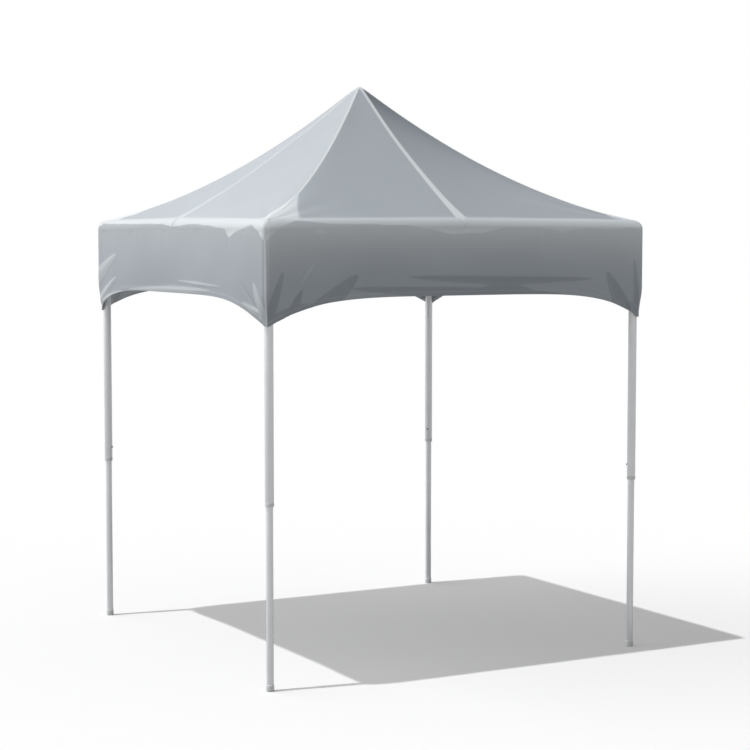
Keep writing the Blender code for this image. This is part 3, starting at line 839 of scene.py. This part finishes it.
def stitchPart(low, high):
    # stitches along a line, each a small block. low and high are the line on the cloth and above it.
    way = np.concatenate([[0], np.cumsum(np.linalg.norm(np.diff(low, axis=0), axis=1))])
    at = np.arange(tape["pitch"] / 2, way[-1], tape["pitch"])
    centre, above = (np.stack([np.interp(at, way, axis) for axis in line.T], axis=-1) for line in (low, high))
    along = np.gradient(centre, axis=0)
    along /= np.linalg.norm(along, axis=1)[:, None]
    up = (above - centre) / np.linalg.norm(above - centre, axis=1)[:, None]
    frameOf = np.stack([along, np.cross(up, along), up], axis=1) * np.array(tape["stitch"])[:, None]
    block = np.array([(i // 4 - 0.5, i // 2 % 2 - 0.5, i % 2 - 0.2) for i in range(8)])
    points = centre[:, None] + np.einsum("bk,nkc->nbc", block, frameOf)
    faces = (boxFaces[None] + 8 * np.arange(len(at))[:, None, None]).reshape(-1, 4)
    return points.reshape(-1, 3), [faces], 0


def makeStitches():
    # each row is a line on the cloth and the same line 1 mm above it
    pieces = []
    for side, name in enumerate(sides):
        lines = []
        for offset in (-tape["stitchLine"], tape["stitchLine"]):
            for strip in (seamRows, cornerRows):
                across = np.array([offset])
                lines.append([strip(across, side, tape["lift"] + rise)[:, 0] for rise in (0.0, 0.001)])
        s = np.linspace(-1, 1, 400) * tape["endOfRows"]
        rows = [np.full_like(s, drop) for drop in tape["edgeRows"]]
        rows.append(edgeOf(s)[2] - valanceBottom(s) - canopy["hem"] + tape["hemRow"])
        for h in rows:
            lines.append([turned(valanceSkin(h, s, side, rise), side) for rise in (0.0, 0.001)])
        piece = makePiece(f"stitching_{name}", [stitchPart(low, high) for low, high in lines], [thread],
                          "frame_centre", sharp=30.0)
        gather(piece)
        pieces.append(piece)
    return pieces


patch = {
    "size": 0.20,
    "far": 0.945,             # from the tent's axis to its outer edges
    "cut": 1.2,               # its inner corner is cut off where the two shares of its sides add up to this
    "peakRadius": 0.11,
    "thickness": 0.0010,
    "gap": 0.0012,            # between it and the roof's inner face
}


def makePatches():
    # reinforcing patches sewn under the roof: squares at its corners with one corner cut off, and a
    # rounded square round its peak
    pieces = []
    under = -canopy["thickness"] - patch["gap"]
    t = np.linspace(0, 1, 41)
    u, v = np.meshgrid(t, t, indexing="ij")
    cut = np.maximum(u + v - patch["cut"], 0) / 2
    for side, corner in enumerate(corners):
        x = patch["far"] - patch["size"] * (u - cut)
        y = patch["size"] * (v - cut) - patch["far"]
        nearer = roofSkin(x, y, side, under)
        beyond = roofSkin(y, -x, (side + 1) % 4, under)
        points = np.stack([x, y, np.where(x + y < 0, nearer[..., 2], beyond[..., 2])], axis=-1)
        pieces.append(clothPiece(f"corner_patch_{corner}", turned(points, side)[:, ::-1], [webbing],
                                 patch["thickness"], np.stack([x, y], axis=-1)[:, ::-1]))
    angle = np.linspace(0, 2 * math.pi, 49)
    reach = np.linspace(0.001, patch["peakRadius"], 14)[:, None]
    edge = 1 / np.maximum(np.abs(np.cos(angle)), np.abs(np.sin(angle))) ** 0.7
    x, y = reach * edge * np.cos(angle), reach * edge * np.sin(angle)
    points = np.stack([x, y, roofHeight(x, y) + under - patch["thickness"]], axis=-1)
    pieces.append(clothPiece("peak_patch", points, [webbing], patch["thickness"], np.stack([x, y], axis=-1)))
    return pieces


roofPanels = makeRoof()
valancePanels = makeValance()
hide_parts("canopy")
print("canopy panels made")
tapes = makeTapes()
stitching = makeStitches()
patches = makePatches()
print("tapes, stitches and patches made")

# Legs and peak pole, from the CAD's own sizes
tubes = {
    "outer": (0.0185, 0.0200, 0.826, 2.020),    # bore, radius, bottom, top
    "inner": (0.0145, 0.0160, 0.010, 1.190),
    "pole": (0.0145, 0.0160, 1.7453, 2.7145),
    "edge": 0.0004,
}
hingeTop, hingeBottom = 1.995, 1.755            # heights of the two hinge lines


def tubePart(kind):
    # a wall's outline turned about the tube's axis
    bore, radius, low, high = tubes[kind]
    wall = [(bore, low), (radius, low), (radius, high), (bore, high)]
    return turnedPart(rounded(wall, tubes["edge"], 3, True), 0, 48, True)


def domedButton(radius, start, end):
    # a round push button along +x, its head a shallow dome that rises by a fifth of its radius
    turn = np.linspace(0, math.pi / 2, 6)
    dome = np.stack([radius * (0.45 + 0.55 * np.cos(turn)), end - radius * 0.2 * (1 - np.sin(turn))], axis=-1)
    profile = np.concatenate([[(0, start), (radius, start)], dome, [(0, end)]])
    return swapped([turnedPart(profile, 0, 24)], "z along x")


def makeLegs():
    # turned tubes with a bush, a guide ring and a foot, as outlines of (radius, height) points, and the
    # strap and the two buttons of each leg
    outerBush = rounded([(0.0165, 0.818), (0.0206, 0.818), (0.0206, 0.834), (0.0186, 0.836), (0.0184, 0.850),
                         (0.0165, 0.850)], 0.0008, 4, True)
    guideRing = rounded([(0.0158, 1.160), (0.0180, 1.160), (0.0180, 1.190), (0.0158, 1.190)], 0.0008, 4, True)
    foot = [(0, 0), (0.0150, 0), (0.0166, 0.0003), (0.0177, 0.0012), (0.0180, 0.0026), (0.0180, 0.0250),
            (0.0176, 0.0285), (0.0168, 0.0297), (0.0158, 0.0300), (0.0158, 0.0060), (0, 0.0060)]
    strapRing = rounded([(0.0203, 1.905), (0.0223, 1.905), (0.0223, 1.930), (0.0203, 1.930)], 0.0006, 4, True)
    for side, corner in enumerate(corners):
        turn = side * math.pi / 2
        at = (*((outward[side] + rightward[side]) * legReach), 0.0)
        parts = [tubePart("outer"), turnedPart(outerBush, 1, 48, True)]
        standIn(f"{corner}_outer_leg", "tube", moved(parts, at), [coatedSteel, polypropylene])
        parts = [tubePart("inner"), turnedPart(guideRing, 1, 48, True), turnedPart(foot, 2, 48)]
        standIn(f"{corner}_inner_leg", "tube", moved(parts, at), [coatedSteel, nylon, polypropylene])
        tail = platePart(rounded([(0.0212, -0.0120), (0.0400, -0.0120), (0.0400, 0.0120), (0.0212, 0.0120)],
                                 0.001, 3, True), -0.0009, 0.0009, 0.0004, 0)
        strap = moved([turnedPart(strapRing, 0, 40, True)], at)
        strap += moved([tail], (at[0], at[1], 1.9175), turn - math.pi / 4)
        makePiece(f"{corner}_leg_strap", strap, [webbing], f"{corner}_leg")
        for kind, sizes, height, way in (("slider_button", (0.0060, 0.0255, 0.0380), hingeBottom, -1),
                                         ("leg_button", (0.0040, 0.0195, 0.0245), 0.890, 3)):
            parts = moved(domedButton(*sizes), (at[0], at[1], height), turn + way * math.pi / 4)
            standIn(f"{corner}_{kind}", "cap", parts, [acetal])
    plug = [(0, 2.700), (0.0144, 2.700), (0.0144, 2.7144), (0.0159, 2.7148), (0.0158, 2.7165),
            (0.0150, 2.7190), (0.0130, 2.7212), (0.0100, 2.7228), (0.0060, 2.7237), (0, 2.7240)]
    standIn("peak_pole", "tube", [tubePart("pole"), turnedPart(plug, 1, 48)], [aluminium, nylon])


makeLegs()
print("legs and pole made")

# Scissor bars: a drawn flat-sided tube with a moulded tip in each end, riveted in pairs
bars = {
    "length": 0.92662,        # between hinge pins
    "run": 0.895,             # the same on plan, with the tent open
    "drop": 0.240,
    "halfHeight": 0.012,
    "halfThickness": 0.006,
    "offset": 0.0068,         # from the truss's middle plane
    "bevel": 0.0025,
    "tip": 0.016,             # from the end pin to the tube's end
    "tipInside": 0.006,       # how far the tip goes into the tube
    "tipInset": 0.0004,
    "tipBevel": 0.0012,
}
pins = {"radius": 0.003, "head": 0.0052, "headHeight": 0.0015, "spacer": 0.0075}
arms = {"hub": 0.042, "middleIn": 0.033, "middleSide": 0.030, "corner": 0.045}   # from axis to hinge pin
lugs = {"gap": 0.0005, "thickness": 0.0035, "halfHeight": 0.010, "pastPin": 0.010, "bevel": 0.0008}


def pinPart(low, high, paint):
    # a rivet along y with a low domed head at each end
    head, rise, shank = pins["head"], pins["headHeight"], pins["radius"]
    half = [(0, -rise), (head * 0.55, -rise * 0.92), (head * 0.88, -rise * 0.55), (head, -rise * 0.1),
            (head, 0), (shank, 0)]
    profile = [(r, low + z) for r, z in half] + [(r, high - z) for r, z in half[::-1]]
    return swapped([turnedPart(profile, paint, 20)], "z along y")


def roundEnded(start, end, radius):
    # an anticlockwise outline with a half circle at each end
    turn = np.linspace(-math.pi / 2, math.pi / 2, 13)
    right = np.stack([end + radius * np.cos(turn), radius * np.sin(turn)], axis=-1)
    left = np.stack([start - radius * np.cos(turn), -radius * np.sin(turn)], axis=-1)
    return np.concatenate([right, left])


def barParts(start):
    # a tube along +x from its pin at start, with a round-ended tip in each end
    end = start + bars["length"]
    height, thick, tip = bars["halfHeight"], bars["halfThickness"], bars["tip"]
    box = [(start + tip, -height), (end - tip, -height), (end - tip, height), (start + tip, height)]
    parts = [platePart(rounded(box, 0.0012, 4, True), -thick, thick, bars["bevel"], 0)]
    small, thin = height - bars["tipInset"], thick - bars["tipInset"]
    inside = tip + bars["tipInside"]
    for low, high in ((start, start + inside), (end - inside, end)):
        parts.append(platePart(roundEnded(low, high, small), -thin, thin, bars["tipBevel"], 1))
    return parts


def makeBars():
    # the upper bar of a pair carries the rivet at its middle, and the lower one is placed from there
    middle = bars["length"] / 2
    spacer = rounded([(0.003, 0.0061), (pins["spacer"], 0.0061), (pins["spacer"], 0.0075), (0.003, 0.0075)],
                     0.0003, 3, True)
    rivet = pinPart(-bars["halfThickness"], 2 * bars["offset"] + bars["halfThickness"], 2)
    rivet += swapped([turnedPart(spacer, 1, 24, True)], "z along y")
    upperBar = barParts(0.0) + moved(rivet, (middle, 0, 0))
    lowerBar = barParts(-middle)
    slope = math.atan2(bars["drop"], bars["run"])
    for side, name in enumerate(sides):
        out, along = (np.array([*v, 0.0]) for v in (outward[side], rightward[side]))
        centre = np.array([0, 0, hingeTop])
        trusses = (("inner_bar_1", "inner_bar_2", out, centre + out * arms["hub"]),
                   ("bar_1", "bar_2", along, centre + out * legReach + along * arms["middleSide"]),
                   ("bar_3", "bar_4", -along, centre + out * legReach - along * arms["middleSide"]))
        for first, second, way, start in trusses:
            left = np.array([-way[1], way[0], 0.0])
            heading = math.atan2(way[1], way[0])
            crossing = start + way * bars["run"] / 2 - np.array([0, 0, bars["drop"] / 2])
            for node, parts, place, tip in ((first, upperBar, start - left * bars["offset"], slope),
                                            (second, lowerBar, crossing + left * bars["offset"], -slope)):
                standIn(f"{name}_{node}", "tube", moved(parts, place, heading, tip), [aluminium, nylon, zinc])


def forkParts(angle, offset, length, root):
    # two rounded lugs and their pin, pointing along angle, for a bar at offset to their left
    inner = bars["halfThickness"] + lugs["gap"]
    half, end = lugs["halfHeight"], length + lugs["pastPin"]
    shape = rounded([(root, -half), (end, -half), (end, half), (root, half)],
                    [[0.001], [half], [half], [0.001]], 7, True)
    parts = []
    for low in (offset + inner, offset - inner - lugs["thickness"]):
        parts.append(platePart(shape, low, low + lugs["thickness"], lugs["bevel"], 0))
    outer = inner + lugs["thickness"]
    parts += moved(pinPart(offset - outer, offset + outer, 1), (length, 0, 0))
    return moved(parts, turn=math.radians(angle))


def makeBrackets():
    # turned or square bodies, each with a fork for every bar that it carries
    upper, lower = -bars["offset"], bars["offset"]
    waist = 0.0014                                # the mouldings are a little slimmer between their rims
    rim = 0.005

    def collar(bore, radius, half):
        # a ring with a rim at each end, turned about the z axis
        profile = [(bore, -half), (radius, -half), (radius, rim - half), (radius - waist, rim - half + waist),
                   (radius - waist, half - rim - waist), (radius, half - rim), (radius, half), (bore, half)]
        return turnedPart(rounded(profile, 0.0012, 4, True), 0, 48, True)

    cup = [(0, -0.020), (0.0265, -0.020), (0.028, -0.0185), (0.028, -0.015), (0.0266, -0.0136),
           (0.0266, 0.0136), (0.028, 0.015), (0.028, 0.0188), (0.0268, 0.020), (0.0163, 0.020),
           (0.0163, -0.010), (0, -0.010)]
    for node, body, offset, height in (("upper_hub", collar(0.0168, 0.028, 0.020), upper, hingeTop),
                                       ("lower_hub", turnedPart(cup, 0, 48), lower, hingeBottom)):
        parts = [body]
        for angle in (0, 90, 180, 270):
            parts += forkParts(angle, offset, arms["hub"], 0.021)
        standIn(node, "moulding", moved(parts, (0, 0, height)), [nylon, zinc])

    half = 0.0165
    square = rounded([(-half, -half), (half, -half), (half, half), (-half, half)], 0.005, 6, True)
    cap = [(0, 0.0253), (0.0203, 0.0253), (0.0203, -0.030), (0.0252, -0.030), (0.0260, -0.0292),
           (0.0260, -0.022), (0.0248, -0.0206), (0.0248, 0.0280), (0.0260, 0.0294), (0.0260, 0.0370),
           (0.0254, 0.0400), (0.0240, 0.0422), (0.0215, 0.0430), (0, 0.0430)]
    boss = rounded([(0.0066, 0.0230), (0.0100, 0.0230), (0.0100, 0.0340), (0.0066, 0.0340)], 0.0008, 4, True)
    for side, name in enumerate(sides):
        turn = side * math.pi / 2
        middle = np.array([*(outward[side] * legReach), 0])
        leg = np.array([*((outward[side] + rightward[side]) * legReach), 0])
        for node, offset, top, height in (("upper_bracket", upper, 0.045, hingeTop),
                                          ("lower_bracket", lower, 0.018, hingeBottom)):
            block = swapped([platePart(square, -0.018, top, 0.0015, 0)], "y along z")
            block += swapped([platePart(square * 1.06, top - 0.006, top - 0.001, 0.001, 0)], "y along z")
            for angle, arm in ((90, "middleIn"), (0, "middleSide"), (180, "middleSide")):
                block += forkParts(angle, offset, arms[arm], half * 0.6)
            block = moved(block, middle + [0, 0, height], turn)
            standIn(f"{name}_{node}", "moulding", block, [nylon, zinc])
        corner = corners[side]
        parts = [turnedPart(cap, 0, 48)]
        for angle in (180, 90):
            parts += forkParts(angle, upper, arms["corner"], 0.0225)
        parts = moved(parts, leg + [0, 0, hingeTop], turn)
        standIn(f"{corner}_top_bracket", "moulding", parts, [nylon, zinc])
        parts = [collar(0.0208, 0.0285, 0.022)]
        parts += moved(swapped([turnedPart(boss, 0, 32, True)], "z along x"), turn=-math.pi / 4)
        for angle in (180, 90):
            parts += forkParts(angle, lower, arms["corner"], 0.0235)
        parts = moved(parts, leg + [0, 0, hingeBottom], turn)
        standIn(f"{corner}_slider", "moulding", parts, [nylon, zinc])


makeBars()
makeBrackets()
print("bars and brackets made")

# Floor, world and lamps
stage = {
    "floor": "#f8f8f8",        # as the camera sees it
    "floorBounce": "#9c9c9c",  # as it lights the tent
    "keyPower": 1.55,
    "keyFrom": (-0.2724, 0.0436, 0.9612),
    "softPower": 1.40,
    "softFrom": (-0.742, 0.52, 0.4226),
    "sky": 0.40,
    "reach": 400.0,
}


def seenDirectly(tree):
    # 1 for what the camera, a reflection or clear glass shows, else 0
    path = addNode(tree, "ShaderNodeLightPath")
    glossy = addNode(tree, "ShaderNodeMath", {"operation": "MAXIMUM"},
                     {0: path.outputs["Is Camera Ray"], 1: path.outputs["Is Glossy Ray"]})
    clear = addNode(tree, "ShaderNodeMath", {"operation": "MAXIMUM"},
                    {0: glossy.outputs["Value"], 1: path.outputs["Is Transmission Ray"]})
    return clear.outputs["Value"]


def makeStage():
    mesh = bpy.data.meshes.new("floor")
    far = stage["reach"]
    mesh.from_pydata([(-far, -far, 0), (far, -far, 0), (far, far, 0), (-far, far, 0)], [], [(0, 1, 2, 3)])
    floor = bpy.data.objects.new("floor", mesh)
    bpy.context.scene.collection.objects.link(floor)
    material, tree, shader = newMaterial("matt_floor_paint", {"Roughness": 0.9, "Specular IOR Level": 0.0})
    colour = mixColours(tree, seenDirectly(tree), stage["floorBounce"], stage["floor"])
    tree.links.new(colour, shader.inputs["Base Color"])
    mesh.materials.append(material)
    world = bpy.data.worlds.new("studio")
    world.use_nodes = True
    bpy.context.scene.world = world
    tree = world.node_tree
    back = tree.nodes["Background"]
    back.inputs["Color"].default_value = (1, 1, 1, 1)
    level = addNode(tree, "ShaderNodeMapRange", {"To Min": stage["sky"], "To Max": 1.0},
                    {"Value": seenDirectly(tree)})
    tree.links.new(level.outputs["Result"], back.inputs["Strength"])
    for name, power, source, angle in (("key", stage["keyPower"], stage["keyFrom"], 1.0),
                                       ("soft", stage["softPower"], stage["softFrom"], 70.0)):
        light = bpy.data.lights.new(name, "SUN")
        light.energy = power
        light.angle = math.radians(angle)
        lamp = bpy.data.objects.new(name, light)
        lamp.rotation_mode = "QUATERNION"
        lamp.rotation_quaternion = Vector(source).to_track_quat("Z", "Y")
        bpy.context.scene.collection.objects.link(lamp)


makeStage()

camera = {
    "azimuth": 28.325,      # the way it looks, from +Y towards +X
    "distance": 9.725,      # from the tent's axis
    "height": 2.02,
    "yaw": 0.4555,          # the axis stands a little left of the picture's middle
    "tilt": 4.263,          # downwards
    "focalPixels": 1942.0,  # of a picture 750 pixels wide
}


def makeCamera():
    data = bpy.data.cameras.new("camera")
    data.sensor_width = 36.0
    data.lens = camera["focalPixels"] / 750 * data.sensor_width
    data.clip_end = 2000.0
    item = bpy.data.objects.new("camera", data)
    towards = math.radians(camera["azimuth"])
    item.location = (-math.sin(towards) * camera["distance"], -math.cos(towards) * camera["distance"],
                     camera["height"])
    heading = math.radians(camera["azimuth"] + camera["yaw"])
    item.rotation_euler = (math.radians(90 - camera["tilt"]), 0, -heading)
    bpy.context.scene.collection.objects.link(item)
    bpy.context.scene.camera = item


makeCamera()
bpy.context.scene.view_settings.view_transform = "Standard"
print("stage and camera made")
